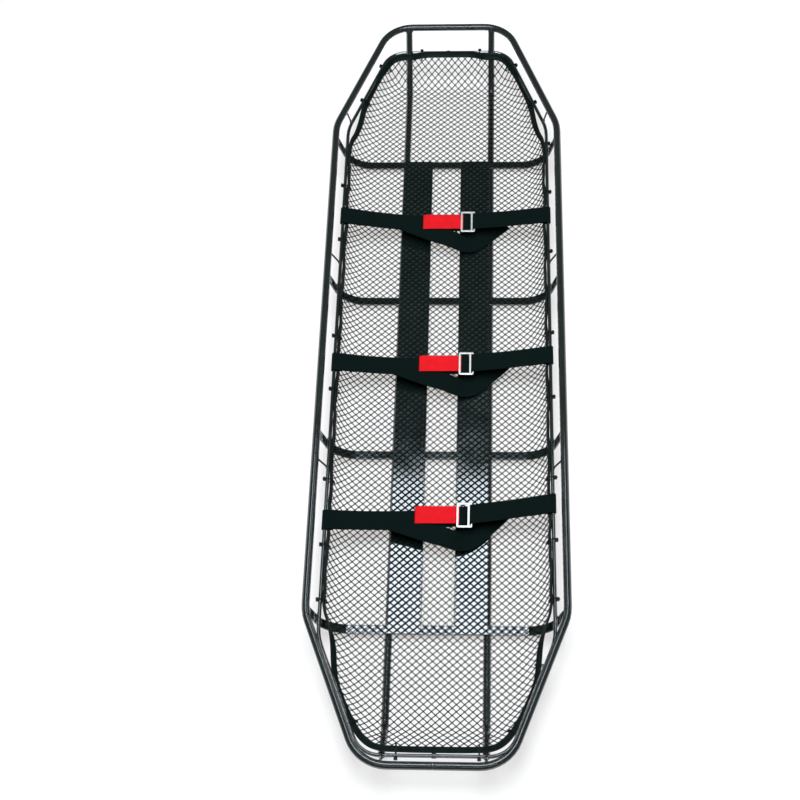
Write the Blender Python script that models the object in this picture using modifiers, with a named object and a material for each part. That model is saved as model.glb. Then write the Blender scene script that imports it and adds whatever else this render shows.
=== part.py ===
"""Basket rescue stretcher, built from its separate pieces.

Units are metres. +X is the right side, +Y the head end and +Z up. The origin is
on the ground, under the middle of the basket.
"""
import math

import bmesh
import bpy
from mathutils import Matrix, Vector

COLLECTION = "rescue_stretcher"
CUTTERS = "cutters"
GAP = 0.0003

# Top rail: a tube ring, eight-sided in plan with rounded corners.
RAIL_RADIUS = 0.0095
RAIL_WALL = 0.0012
RAIL_Z = 0.140
RAIL_HALF_WIDTH = 0.297
RAIL_HALF_LENGTH = 1.059
RAIL_SHOULDER_Y = 0.7074
RAIL_END_HALF_WIDTH = 0.161
RAIL_END_BEND = 0.090
RAIL_SHOULDER_BEND = 0.12

# Side rod: a thinner ring below the rail, which the net and straps hang on.
ROD_RADIUS = 0.00475
ROD_Z = 0.082
ROD_HALF_WIDTH = 0.2706
ROD_HALF_LENGTH = 1.018
ROD_SHOULDER_Y = 0.743
ROD_END_HALF_WIDTH = 0.1638
ROD_END_BEND = 0.065
ROD_SHOULDER_BEND = 0.12

# Joints in the middle of the head and foot ends.
SEAM = 0.0004
SLEEVE_LENGTH = 0.080
SLEEVE_RADIUS = 0.008
RIVET_SHANK = 0.0019
RIVET_HEAD = 0.0042
RIVET_HEAD_HEIGHT = 0.0016
FERRULE_LENGTH = 0.010
FERRULE_RADIUS = 0.00625
FERRULE_WALL = 0.0011

# Runners: tubes along the floor, turned up at both ends.
RUNNER_X = 0.115
RUNNER_HEAD_SHIFT = 0.0055
RUNNER_RADIUS = 0.009
RUNNER_WALL = 0.0012
RUNNER_HEAD_BEND_Y = 0.927
RUNNER_FOOT_BEND_Y = -0.9375
RUNNER_BEND = 0.050
POST_RADIUS = 0.00425

# Ribs: flat bars bent to a U, lying on the runners.
RIB_YS = (0.664, 0.2165, -0.239, -0.699)
RIB_WIDTH = 0.022
RIB_THICKNESS = 0.004
RIB_FLOOR_HALF = 0.200
RIB_BEND = 0.080
RIB_WALL_ANGLE = math.radians(74)
RIB_TOP_DROP = 0.004

# Slats: two flat strips from the first rib to the last, lying on the ribs.
SLAT_INNER_X = 0.038
SLAT_OUTER_X = 0.117
SLAT_THICKNESS = 0.0025

# Struts: thin wires from the rail to the side rod.
STRUT_RADIUS = 0.0025
STRUT_YS = (0.764, 0.295, -0.307, -0.775)

# Net lining and the band round its edge.
LINING_THICKNESS = 0.002
LINING_TOP_Z = 0.0632
LINING_LEVELS = 6
LINING_FLOOR_CORNER = 0.066
LINING_TOP_CORNER = 0.008
LINING_BEND = 0.055
LINING_CLEARANCE = 0.0025
LINING_SPLIT = 0.0015
BORDER_HEIGHT = 0.0075
BORDER_THICKNESS = 0.002

# Restraint straps: where each one meets the left rod, the right rod and the buckle.
STRAPS = (
    {"left_y": 0.448, "right_y": 0.448, "buckle_y": 0.447},
    {"left_y": -0.007, "right_y": 0.014, "buckle_y": 0.0055},
    {"left_y": -0.447, "right_y": -0.400, "buckle_y": -0.4187},
)
WEB_WIDTH = 0.050
WEB_THICKNESS = 0.0015
WEB_LAYER = 0.0024
WEB_OVERLAP = 0.056
RIGHT_SAG_Z = 0.0575
LEFT_SAG_Z = 0.0469
LEFT_END_X = 0.068

# Three-bar buckle, lying flat.
BUCKLE_Z = 0.0562
BUCKLE_LEFT_X = 0.041
BUCKLE_MIDDLE_X = 0.0675
BUCKLE_THIRD_X = 0.077
BUCKLE_BAR = 0.005
BUCKLE_THIRD_BAR = 0.0036
BUCKLE_THICKNESS = 0.003
BUCKLE_HALF_WIDTH = 0.033
BUCKLE_RAIL = 0.0052
BUCKLE_CORNER = 0.003

# Red pull tab, looped round the buckle's left bar.
TAB_WIDTH = 0.045
TAB_END_X = -0.058
TAB_THICKNESS = 0.0015
TAB_LIFT = 0.0008

# Loose tail of each strap: out along the web, over a fold, then down to the net and under the strap.
TAIL_START_X = 0.066
TAIL_FOLD_X = -0.114
TAIL_FOLD_Y = -0.004
TAIL_FOLD_RADIUS = 0.0022
TAIL_FOLD_SIDE = (-0.19, -0.982)
TAIL_DROP_START_X = 0.006
TAIL_DROP_END_X = 0.080
TAIL_LOW_Z = 0.0297
TAIL_ROUTE = (
    (-0.085, -0.015), (-0.050, -0.029), (-0.018, -0.0415), (0.008, -0.0505), (0.028, -0.0575), (0.047, -0.0615),
    (0.067, -0.058), (0.088, -0.044), (0.110, -0.024), (0.132, -0.004), (0.152, 0.016),
)

ARC_STEP = math.radians(9)


def clear_scene():
    """Remove every object from the open scene."""
    for item in list(bpy.data.objects):
        bpy.data.objects.remove(item, do_unlink=True)


def make_collection(name):
    """Make a collection in the scene."""
    group = bpy.data.collections.new(name)
    bpy.context.scene.collection.children.link(group)
    return group


def make_material(name, colour, roughness, metallic):
    """Make a Principled BSDF material."""
    material = bpy.data.materials.new(name)
    material.use_nodes = True
    shader = material.node_tree.nodes["Principled BSDF"]
    shader.inputs["Base Color"].default_value = (*colour, 1.0)
    shader.inputs["Roughness"].default_value = roughness
    shader.inputs["Metallic"].default_value = metallic
    return material


def add_mesh(name, mesh, material, group):
    """Put a mesh in the scene as a named object."""
    if material:
        mesh.materials.append(material)
    mesh.shade_smooth()
    mesh.set_sharp_from_angle(angle=math.radians(35))
    item = bpy.data.objects.new(name, mesh)
    group.objects.link(item)
    return item


def add_bmesh(name, bm, material, group):
    """Put a bmesh in the scene as a named object."""
    bmesh.ops.recalc_face_normals(bm, faces=bm.faces)
    mesh = bpy.data.meshes.new(name)
    bm.to_mesh(mesh)
    bm.free()
    return add_mesh(name, mesh, material, group)


def set_origin(item, origin):
    """Move a mesh object's origin without moving its shape."""
    shift = origin - item.location
    item.data.transform(Matrix.Translation(-shift))
    item.location = origin


def rounded_path(corners, radii):
    """Round the inner corners of an open 3-D path with arcs."""
    points = [Vector(corners[0])]
    for before, corner, after, radius in zip(corners, corners[1:], corners[2:], radii):
        before, corner, after = Vector(before), Vector(corner), Vector(after)
        into = (corner - before).normalized()
        out = (after - corner).normalized()
        turn = into.angle(out)
        tangent = radius * math.tan(turn / 2)
        start = corner - into * tangent
        inward = (out - into).normalized()
        centre = corner + inward * (radius / math.cos(turn / 2))
        axis = into.cross(out).normalized()
        steps = max(2, math.ceil(turn / ARC_STEP))
        for step in range(steps + 1):
            spin = Matrix.Rotation(turn * step / steps, 3, axis)
            points.append(centre + spin @ (start - centre))
    points.append(Vector(corners[-1]))
    return points


def make_tube_curve(name, points, radius, resolution, capped, group):
    """Make a tube as a bevelled curve."""
    curve = bpy.data.curves.new(name, "CURVE")
    curve.dimensions = "3D"
    curve.bevel_depth = radius
    curve.bevel_resolution = resolution
    curve.use_fill_caps = capped
    spline = curve.splines.new("POLY")
    spline.points.add(len(points) - 1)
    for point, place in zip(spline.points, points):
        point.co = (*place, 1.0)
    item = bpy.data.objects.new(name, curve)
    group.objects.link(item)
    return item


def curve_to_mesh(item, material, group):
    """Replace a curve object by a mesh object with welded caps."""
    name = item.name
    graph = bpy.context.evaluated_depsgraph_get()
    mesh = bpy.data.meshes.new_from_object(item.evaluated_get(graph))
    matrix = item.matrix_world.copy()
    bpy.data.objects.remove(item, do_unlink=True)
    bm = bmesh.new()
    bm.from_mesh(mesh)
    bpy.data.meshes.remove(mesh)
    bmesh.ops.remove_doubles(bm, verts=bm.verts, dist=0.00001)
    made = add_bmesh(name, bm, material, group)
    made.matrix_world = matrix
    return made


def add_solidify(item, thickness, offset):
    """Give an open surface a thickness."""
    modifier = item.modifiers.new("thickness", "SOLIDIFY")
    modifier.thickness = thickness
    modifier.offset = offset
    modifier.use_even_offset = True
    return item


def add_rod(name, points, radius, resolution, material, group):
    """Add a solid round rod along a path."""
    curve = make_tube_curve(name, points, radius, resolution, True, group)
    return curve_to_mesh(curve, material, group)


def add_hollow_tube(name, points, radius, wall, resolution, material, group):
    """Add a tube with open ends along a path."""
    curve = make_tube_curve(name, points, radius, resolution, False, group)
    tube = curve_to_mesh(curve, material, group)
    return add_solidify(tube, wall, -1)


def add_cutter(name, points, radius, group):
    """Add a round cutter along a path."""
    cutter = add_rod(name, points, radius, 4, None, group)
    cutter.hide_render = True
    cutter.display_type = "WIRE"
    return cutter


def cut(item, cutter):
    """Cut an object with a cutter."""
    modifier = item.modifiers.new(cutter.name, "BOOLEAN")
    modifier.operation = "DIFFERENCE"
    modifier.object = cutter


def extrude_strip(name, profile, width, centre_y, thickness, material, group):
    """Extrude an XZ line along Y and give it a thickness; centre_y may be a function of X."""
    bm = bmesh.new()
    rows = []
    for x, z in profile:
        middle = centre_y(x)
        rows.append([bm.verts.new((x, middle + side * width / 2, z)) for side in (-1, 1)])
    for first, second in zip(rows, rows[1:]):
        bm.faces.new((first[0], first[1], second[1], second[0]))
    strip = add_bmesh(name, bm, material, group)
    return add_solidify(strip, thickness, 0)


def half_ring(side, half_width, half_length, shoulder_y, end_half_width, height, end_bend, shoulder_bend):
    """Give the path of half an eight-sided ring, from its head seam to its foot seam."""
    corners = [(side * SEAM / 2, half_length, height)]
    for end in (1, -1):
        end_corner = (side * end_half_width, end * half_length, height)
        shoulder = (side * half_width, end * shoulder_y, height)
        corners += [end_corner, shoulder] if end > 0 else [shoulder, end_corner]
    corners.append((side * SEAM / 2, -half_length, height))
    return rounded_path(corners, (end_bend, shoulder_bend, shoulder_bend, end_bend))


def rail_path(side):
    """Give the path of half the top rail."""
    return half_ring(side, RAIL_HALF_WIDTH, RAIL_HALF_LENGTH, RAIL_SHOULDER_Y,
                     RAIL_END_HALF_WIDTH, RAIL_Z, RAIL_END_BEND, RAIL_SHOULDER_BEND)


def rod_path(side):
    """Give the path of half the side rod."""
    return half_ring(side, ROD_HALF_WIDTH, ROD_HALF_LENGTH, ROD_SHOULDER_Y,
                     ROD_END_HALF_WIDTH, ROD_Z, ROD_END_BEND, ROD_SHOULDER_BEND)


def build_rail(steel, group, cutters):
    """Build the two rail halves, their inner sleeves and the rivets over the seams."""
    rails = {}
    for side, word in ((-1, "left"), (1, "right")):
        rails[word] = add_hollow_tube(f"top_rail_{word}", rail_path(side), RAIL_RADIUS, RAIL_WALL, 4, steel, group)
    for end, word in ((1, "head"), (-1, "foot")):
        y = end * RAIL_HALF_LENGTH
        ends = [Vector((side * SLEEVE_LENGTH / 2, y, RAIL_Z)) for side in (-1, 1)]
        sleeve = add_hollow_tube(f"rail_sleeve_{word}", ends, SLEEVE_RADIUS, RAIL_WALL, 4, steel, group)
        bottom = Vector((0, y, RAIL_Z))
        top = Vector((0, y, RAIL_Z + 2 * RAIL_RADIUS))
        cutter = add_cutter(f"rivet_hole_{word}", (bottom, top), RIVET_SHANK + GAP, cutters)
        for piece in (*rails.values(), sleeve):
            cut(piece, cutter)
        build_rivet(f"rail_rivet_{word}", Vector((0, y, RAIL_Z + RAIL_RADIUS + GAP)), steel, group)


def build_rivet(name, seat, steel, group):
    """Build a dome-headed rivet as a turned profile, its head standing on the seat point."""
    shank = SLEEVE_RADIUS * 0.55
    profile = [(0, -shank), (RIVET_SHANK, -shank), (RIVET_SHANK, 0), (RIVET_HEAD, 0)]
    dome_steps = 4
    for step in range(1, dome_steps + 1):
        angle = math.pi / 2 * step / dome_steps
        profile.append((RIVET_HEAD * math.cos(angle), RIVET_HEAD_HEIGHT * math.sin(angle)))
    profile[-1] = (0, RIVET_HEAD_HEIGHT)
    bm = bmesh.new()
    verts = [bm.verts.new((x, 0, z)) for x, z in profile]
    for first, second in zip(verts, verts[1:]):
        bm.edges.new((first, second))
    mesh = bpy.data.meshes.new(name)
    bm.to_mesh(mesh)
    bm.free()
    rivet = add_mesh(name, mesh, steel, group)
    rivet.location = seat
    screw = rivet.modifiers.new("turn", "SCREW")
    screw.steps = 12
    screw.render_steps = 12
    screw.use_merge_vertices = True
    screw.merge_threshold = 0.00001
    screw.use_normal_calculate = True
    screw.use_normal_flip = True
    return rivet


def build_side_rod(steel, group):
    """Build the two side rod halves and the ferrules over their seams."""
    for side, word in ((-1, "left"), (1, "right")):
        add_rod(f"side_rod_{word}", rod_path(side), ROD_RADIUS, 2, steel, group)
    for end, word in ((1, "head"), (-1, "foot")):
        ends = [Vector((side * FERRULE_LENGTH / 2, end * ROD_HALF_LENGTH, ROD_Z)) for side in (-1, 1)]
        add_hollow_tube(f"rod_ferrule_{word}", ends, FERRULE_RADIUS, FERRULE_WALL, 4, steel, group)


def crossing(path, axis, value, last=False):
    """Give the point where a path passes a coordinate: its first pass, or its last."""
    pairs = list(zip(path, path[1:]))
    if last:
        pairs.reverse()
    for first, second in pairs:
        low, high = sorted((first[axis], second[axis]))
        if low <= value <= high and low < high:
            return first.lerp(second, (value - first[axis]) / (second[axis] - first[axis]))
    return path[-1]


def build_runners(steel, group, rail_cutters, cutters):
    """Build the floor runners, cut to fit the head rail and the foot rod, and the foot posts."""
    for side, word in ((-1, "left"), (1, "right")):
        x = side * RUNNER_X
        foot_rod = crossing(rod_path(side), 0, x, last=True)
        foot_bend = Vector((x, RUNNER_FOOT_BEND_Y, RUNNER_RADIUS))
        head_x = x + RUNNER_HEAD_SHIFT
        head_bend = Vector((head_x, RUNNER_HEAD_BEND_Y, RUNNER_RADIUS))
        head_rail = crossing(rail_path(side), 0, head_x)
        foot_rail = crossing(rail_path(side), 0, x, last=True)
        path = rounded_path([foot_rod, foot_bend, head_bend, head_rail], (RUNNER_BEND, RUNNER_BEND))
        runner = add_hollow_tube(f"runner_{word}", path, RUNNER_RADIUS, RUNNER_WALL, 4, steel, group)
        rod_cutter = add_cutter(f"rod_saddle_{word}", rod_path(side), ROD_RADIUS + GAP, cutters)
        cut(runner, rail_cutters[side])
        cut(runner, rod_cutter)
        along = (foot_rod - foot_rail).normalized()
        ends = (foot_rail, foot_rod - along * (ROD_RADIUS + GAP))
        post = add_rod(f"foot_post_{word}", ends, POST_RADIUS, 2, steel, group)
        cut(post, rail_cutters[side])


def add_link(name, start, start_radius, end, end_radius, radius, material, group):
    """Add a straight rod from the skin of one tube to the skin of another."""
    along = (end - start).normalized()
    ends = (start + along * (start_radius + GAP), end - along * (end_radius + GAP))
    return add_rod(name, ends, radius, 2, material, group)


def rib_profile():
    """Give the XZ centre line of a rib, from its left top end to its right top end."""
    base = 2 * RUNNER_RADIUS + GAP + RIB_THICKNESS / 2
    steps = 9
    bend = []
    for step in range(steps + 1):
        angle = RIB_WALL_ANGLE * step / steps
        x = RIB_FLOOR_HALF + RIB_BEND * math.sin(angle)
        bend.append((x, base + RIB_BEND * (1 - math.cos(angle))))
    top_z = RAIL_Z - RIB_TOP_DROP
    bend_x, bend_z = bend[-1]
    bend.append((bend_x + (top_z - bend_z) / math.tan(RIB_WALL_ANGLE), top_z))
    return [(-x, z) for x, z in reversed(bend)] + bend


def build_ribs(steel, group, rail_cutters):
    """Build the four flat ribs, their tops cut to fit under the rail."""
    for number, rib_y in enumerate(RIB_YS, start=1):
        rib = extrude_strip(f"rib_{number}", rib_profile(), RIB_WIDTH, lambda x, y=rib_y: y,
                            RIB_THICKNESS, steel, group)
        for side in (-1, 1):
            cut(rib, rail_cutters[side])


def build_slats(steel, group):
    """Build the two floor slats."""
    head_y = RIB_YS[0] + RIB_WIDTH / 2
    foot_y = RIB_YS[-1] - RIB_WIDTH / 2
    z = 2 * RUNNER_RADIUS + RIB_THICKNESS + 2 * GAP + SLAT_THICKNESS / 2
    size = (SLAT_OUTER_X - SLAT_INNER_X, head_y - foot_y, SLAT_THICKNESS)
    for side, word in ((-1, "left"), (1, "right")):
        bm = bmesh.new()
        bmesh.ops.create_cube(bm, size=1)
        bmesh.ops.scale(bm, vec=size, verts=bm.verts)
        slat = add_bmesh(f"slat_{word}", bm, steel, group)
        slat.location = (side * (SLAT_INNER_X + SLAT_OUTER_X) / 2, (head_y + foot_y) / 2, z)
        bevel = slat.modifiers.new("edge", "BEVEL")
        bevel.width = SLAT_THICKNESS / 5
        bevel.segments = 1


def build_struts(steel, group):
    """Build the thin wires between the rail and the side rod."""
    for number, y in enumerate(STRUT_YS, start=1):
        for side, word in ((-1, "left"), (1, "right")):
            top = crossing(rail_path(side), 1, y)
            bottom = crossing(rod_path(side), 1, y)
            add_link(f"strut_{word}_{number}", top, RAIL_RADIUS, bottom, ROD_RADIUS, STRUT_RADIUS, steel, group)


def lining_outline(half_width, half_length, corner_inset, height):
    """Give a closed eight-sided outline, its slanted sides set in from the side rod's."""
    shoulder = Vector((ROD_HALF_WIDTH, ROD_SHOULDER_Y))
    end = Vector((ROD_END_HALF_WIDTH, ROD_HALF_LENGTH))
    along = (end - shoulder).normalized()
    outward = Vector((along.y, -along.x))
    reach = outward.dot(shoulder) - corner_inset
    shoulder_y = (reach - outward.x * half_width) / outward.y
    end_x = (reach - outward.y * half_length) / outward.x
    quarter = rounded_path([(0, half_length, height), (end_x, half_length, height),
                            (half_width, shoulder_y, height), (half_width, 0, height)],
                           (LINING_BEND, LINING_BEND))
    right = quarter + [Vector((p.x, -p.y, p.z)) for p in reversed(quarter[:-1])]
    left = [Vector((-p.x, p.y, p.z)) for p in reversed(right[1:-1])]
    return right + left


def loft(name, outlines, closed, material, group):
    """Join outlines with as many points each into one surface."""
    bm = bmesh.new()
    rings = [[bm.verts.new(point) for point in outline] for outline in outlines]
    for lower, upper in zip(rings, rings[1:]):
        for index in range(len(lower) - (0 if closed else 1)):
            after = (index + 1) % len(lower)
            bm.faces.new((lower[index], lower[after], upper[after], upper[index]))
    return add_bmesh(name, bm, material, group)


def half_outline(outline, side):
    """Give one side of a closed outline, from the head's middle to the foot's."""
    half = [point.copy() for point in outline if side * point.x >= -GAP]
    if side < 0:
        half = half[1:] + half[:1]
        half.reverse()
    for point in half:
        if abs(point.x) < GAP:
            point.x = side * GAP / 2
    return half


def lining_radius():
    """Give the bend radius of the lining's sides, inside the ribs and above the slats."""
    return RIB_BEND - RIB_THICKNESS / 2 - SLAT_THICKNESS - 2 * GAP - LINING_THICKNESS / 2


def lining_base():
    """Give the height of the lining's floor, at the middle of its thickness."""
    return 2 * RUNNER_RADIUS + RIB_THICKNESS + SLAT_THICKNESS + 3 * GAP + LINING_THICKNESS / 2


def lining_half_length(height):
    """Give the lining's half-length at a height, just inside the turned-up head runners."""
    head_rail = crossing(rail_path(1), 0, RUNNER_X)
    rise = Vector((head_rail.y - RUNNER_HEAD_BEND_Y, RAIL_Z - RUNNER_RADIUS)).normalized()
    inset = RUNNER_RADIUS + LINING_CLEARANCE + LINING_THICKNESS / 2
    start_y = RUNNER_HEAD_BEND_Y - rise.y * inset
    start_z = RUNNER_RADIUS + rise.x * inset
    return start_y + (height - start_z) * rise.x / rise.y


def build_lining(netting, group):
    """Build the net lining as a thin floor and two thin sides, and the band round its edge."""
    radius = lining_radius()
    base = lining_base()
    top_angle = math.acos(1 - (LINING_TOP_Z - base) / radius)
    outlines = []
    for level in range(LINING_LEVELS + 1):
        share = level / LINING_LEVELS
        angle = top_angle * share
        half_width = RIB_FLOOR_HALF + radius * math.sin(angle)
        height = base + radius * (1 - math.cos(angle))
        spread = math.sin(angle) / math.sin(top_angle)
        inset = LINING_FLOOR_CORNER + (LINING_TOP_CORNER - LINING_FLOOR_CORNER) * spread
        outlines.append(lining_outline(half_width, lining_half_length(height), inset, height))
    for side, word in ((-1, "left"), (1, "right")):
        halves = [half_outline(outline, side) for outline in outlines]
        add_solidify(loft(f"net_side_{word}", halves, False, netting, group), LINING_THICKNESS, 0)
    floor = lining_outline(RIB_FLOOR_HALF - LINING_SPLIT, lining_half_length(base) - LINING_SPLIT,
                           LINING_FLOOR_CORNER + LINING_SPLIT, base)
    bm = bmesh.new()
    bm.faces.new([bm.verts.new(point) for point in floor])
    add_solidify(add_bmesh("net_floor", bm, netting, group), LINING_THICKNESS, 0)
    band_z = LINING_TOP_Z + 3 * GAP + LINING_THICKNESS / 4
    band = []
    for height in (band_z, band_z + BORDER_HEIGHT):
        band.append(lining_outline(half_width, lining_half_length(LINING_TOP_Z), LINING_TOP_CORNER, height))
    border = loft("net_border", band, True, netting, group)
    add_solidify(border, BORDER_THICKNESS, 0)


def arc_points(centre, radius, start, end, steps):
    """Give points on an XZ arc, angles measured from +X towards +Z."""
    points = []
    for step in range(steps + 1):
        angle = start + (end - start) * step / steps
        points.append((centre[0] + radius * math.cos(angle), centre[1] + radius * math.sin(angle)))
    return points


def web_height(x, sag_z):
    """Give the height of a sagging web's upper layer at x."""
    loop = ROD_RADIUS + GAP + WEB_THICKNESS
    share = min(1, abs(x) / ROD_HALF_WIDTH)
    return sag_z + (ROD_Z + loop - sag_z) * share ** 2


def rod_loop(side, sag_z):
    """Give the turn of a web round the side rod and its lower layer, running away from the middle."""
    loop = ROD_RADIUS + GAP + WEB_THICKNESS
    start, end = math.pi / 2, -math.pi / 2
    turn = arc_points((ROD_HALF_WIDTH, ROD_Z), loop, start, end, 10)
    merge_x = ROD_HALF_WIDTH - WEB_OVERLAP / 2
    end_x = ROD_HALF_WIDTH - WEB_OVERLAP
    turn.append((merge_x, web_height(merge_x, sag_z) - WEB_LAYER))
    turn.append((end_x, web_height(end_x, sag_z) - WEB_LAYER))
    return [(side * x, z) for x, z in turn]


def right_web_profile():
    """Give the XZ line of a right web: lower layer, loop on the buckle, upper layer, loop on the rod."""
    loop = BUCKLE_THIRD_BAR / 2 + 2 * GAP + WEB_THICKNESS / 2
    merge_x = BUCKLE_THIRD_X + 0.016
    end_x = BUCKLE_THIRD_X + 0.040
    profile = [(end_x, web_height(end_x, RIGHT_SAG_Z) - WEB_LAYER)]
    profile.append((merge_x, web_height(merge_x, RIGHT_SAG_Z) - WEB_LAYER))
    profile += arc_points((BUCKLE_THIRD_X, BUCKLE_Z), loop, -math.pi / 2, -3 * math.pi / 2, 10)
    steps = 8
    for step in range(1, steps):
        x = BUCKLE_THIRD_X + (ROD_HALF_WIDTH - BUCKLE_THIRD_X) * step / steps
        profile.append((x, web_height(x, RIGHT_SAG_Z)))
    return profile + rod_loop(1, RIGHT_SAG_Z)


def left_web_profile():
    """Give the XZ line of a left web, from under the buckle to the loop on the left rod."""
    profile = []
    steps = 10
    for step in range(steps):
        x = LEFT_END_X - (LEFT_END_X + ROD_HALF_WIDTH) * step / steps
        profile.append((x, web_height(x, LEFT_SAG_Z)))
    return profile + rod_loop(-1, LEFT_SAG_Z)


def tab_profile():
    """Give the XZ line of the pull tab, from its free end to round the buckle's left bar."""
    centre = (BUCKLE_LEFT_X + BUCKLE_BAR / 2, BUCKLE_Z)
    loop = math.hypot(BUCKLE_BAR, BUCKLE_THICKNESS) / 2 + GAP + TAB_THICKNESS / 2
    upper_z = BUCKLE_Z + TAB_LIFT + TAB_THICKNESS / 2
    lower_z = upper_z - TAB_THICKNESS - 2 * GAP
    profile = [(TAB_END_X, upper_z), (TAB_END_X / 2, upper_z), (centre[0] - 2.6 * loop, upper_z)]
    profile += arc_points(centre, loop, math.radians(135), math.radians(-135), 10)
    profile.append((centre[0] - 2.6 * loop, lower_z))
    profile.append((centre[0] - 4.5 * loop, lower_z))
    return profile


def build_buckle(name, centre_y, nickel, group):
    """Build the flat buckle: an outline with two slots, extruded and its edges eased."""
    right_x = BUCKLE_THIRD_X + BUCKLE_THIRD_BAR / 2
    inner = BUCKLE_HALF_WIDTH - BUCKLE_RAIL
    rectangles = (
        (BUCKLE_LEFT_X, right_x, BUCKLE_HALF_WIDTH, BUCKLE_CORNER),
        (BUCKLE_LEFT_X + BUCKLE_BAR, BUCKLE_MIDDLE_X, inner, BUCKLE_CORNER / 3),
        (BUCKLE_MIDDLE_X + BUCKLE_BAR, right_x - BUCKLE_THIRD_BAR, inner, BUCKLE_CORNER / 3),
    )
    curve = bpy.data.curves.new(name, "CURVE")
    curve.dimensions = "2D"
    curve.fill_mode = "BOTH"
    curve.extrude = BUCKLE_THICKNESS / 2
    for left, right, half, corner in rectangles:
        outline = rounded_rectangle(left, right, half, corner)
        spline = curve.splines.new("POLY")
        spline.points.add(len(outline) - 1)
        for point, place in zip(spline.points, outline):
            point.co = (*place, 0.0, 1.0)
        spline.use_cyclic_u = True
    item = bpy.data.objects.new(name, curve)
    group.objects.link(item)
    item.location = (0, centre_y, BUCKLE_Z)
    bpy.context.view_layer.update()
    buckle = curve_to_mesh(item, nickel, group)
    bevel = buckle.modifiers.new("edge", "BEVEL")
    bevel.width = BUCKLE_THICKNESS / 6
    bevel.segments = 1
    bevel.limit_method = "ANGLE"
    return buckle


def rounded_rectangle(left, right, half, corner):
    """Give the XY outline of a rectangle with rounded corners."""
    outline = []
    steps = 2
    quarters = ((right, half, 0), (left, half, 1), (left, -half, 2), (right, -half, 3))
    for x, y, quarter in quarters:
        centre_x = x - math.copysign(corner, x - (left + right) / 2)
        centre_y = y - math.copysign(corner, y)
        for step in range(steps + 1):
            angle = math.pi / 2 * (quarter + step / steps)
            outline.append((centre_x + corner * math.cos(angle), centre_y + corner * math.sin(angle)))
    return outline


def tail_height(x):
    """Give the height of the tail's folded-back layer: on the web, then down to the net."""
    over_z = web_height(x - WEB_WIDTH / 6, LEFT_SAG_Z) + 2 * WEB_LAYER
    fall = (x - TAIL_DROP_START_X) / (TAIL_DROP_END_X - TAIL_DROP_START_X)
    fall = min(1, max(0, fall))
    return over_z + (TAIL_LOW_Z - over_z) * fall * fall * (3 - 2 * fall)


def tail_stations():
    """Give the tail's stations as (centre, foot-side direction, height), from the buckle to its free end."""
    stations = []
    fold_side = Vector(TAIL_FOLD_SIDE).normalized()
    straight_steps = 8
    for step in range(straight_steps + 1):
        share = step / straight_steps
        x = TAIL_START_X + (TAIL_FOLD_X - TAIL_START_X) * share
        side = Vector((0, -1)) if step < straight_steps else fold_side
        stations.append((Vector((x, TAIL_FOLD_Y * share)), side, web_height(x, LEFT_SAG_Z) + WEB_LAYER))
    fold_z = stations[-1][2]
    turn_steps = 6
    for step in range(1, turn_steps + 1):
        angle = math.pi * step / turn_steps
        x = TAIL_FOLD_X - TAIL_FOLD_RADIUS * math.sin(angle)
        height = fold_z + TAIL_FOLD_RADIUS * (1 - math.cos(angle))
        stations.append((Vector((x, TAIL_FOLD_Y)), fold_side, height))
    places = [Vector((TAIL_FOLD_X, TAIL_FOLD_Y))] + [Vector(place) for place in TAIL_ROUTE]
    for index in range(1, len(places)):
        ahead = places[min(index + 1, len(places) - 1)]
        direction = (ahead - places[index - 1]).normalized()
        foot_side = Vector((direction.y, -direction.x))
        stations.append((places[index], foot_side, tail_height(places[index].x)))
    return stations


def build_tail(name, middle, webbing, group):
    """Build the loose tail as a ribbon through its stations, its free end cut slanting."""
    bm = bmesh.new()
    rows = []
    stations = tail_stations()
    for index, (place, foot_side, height) in enumerate(stations):
        across = foot_side * WEB_WIDTH / 2
        slant = Vector((-foot_side.y, foot_side.x)) * WEB_WIDTH / 5 if index == len(stations) - 1 else Vector((0, 0))
        edges = (place + across - slant, place - across + slant)
        rows.append([bm.verts.new((point.x, point.y + middle(point.x), height)) for point in edges])
    for before, after in zip(rows, rows[1:]):
        bm.faces.new((before[0], before[1], after[1], after[0]))
    tail = add_bmesh(name, bm, webbing, group)
    return add_solidify(tail, WEB_THICKNESS, 0)


def slanting(left_y, right_y):
    """Give a function for the middle line of a strap that runs from one rod to the other."""
    return lambda x: left_y + (right_y - left_y) * (x + ROD_HALF_WIDTH) / (2 * ROD_HALF_WIDTH)


def build_straps(webbing, red, nickel, group):
    """Build the three restraint straps with their buckles, tabs and tails."""
    for number, strap in enumerate(STRAPS, start=1):
        middle = slanting(strap["left_y"], strap["right_y"])
        buckle_y = strap["buckle_y"]
        right_web = extrude_strip(f"strap_{number}_right_web", right_web_profile(), WEB_WIDTH, middle,
                                  WEB_THICKNESS, webbing, group)
        left_web = extrude_strip(f"strap_{number}_left_web", left_web_profile(), WEB_WIDTH, middle,
                                 WEB_THICKNESS, webbing, group)
        tail = build_tail(f"strap_{number}_tail", middle, webbing, group)
        buckle = build_buckle(f"buckle_{number}", buckle_y, nickel, group)
        tab = extrude_strip(f"pull_tab_{number}", tab_profile(), TAB_WIDTH, lambda x, y=buckle_y: y,
                            TAB_THICKNESS, red, group)
        set_origin(right_web, Vector((ROD_HALF_WIDTH, strap["right_y"], ROD_Z)))
        set_origin(left_web, Vector((-ROD_HALF_WIDTH, strap["left_y"], ROD_Z)))
        set_origin(tail, Vector((-ROD_HALF_WIDTH, strap["left_y"], ROD_Z)))
        set_origin(buckle, Vector((BUCKLE_THIRD_X, buckle_y, BUCKLE_Z)))
        set_origin(tab, Vector((BUCKLE_LEFT_X + BUCKLE_BAR / 2, buckle_y, BUCKLE_Z)))


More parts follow.
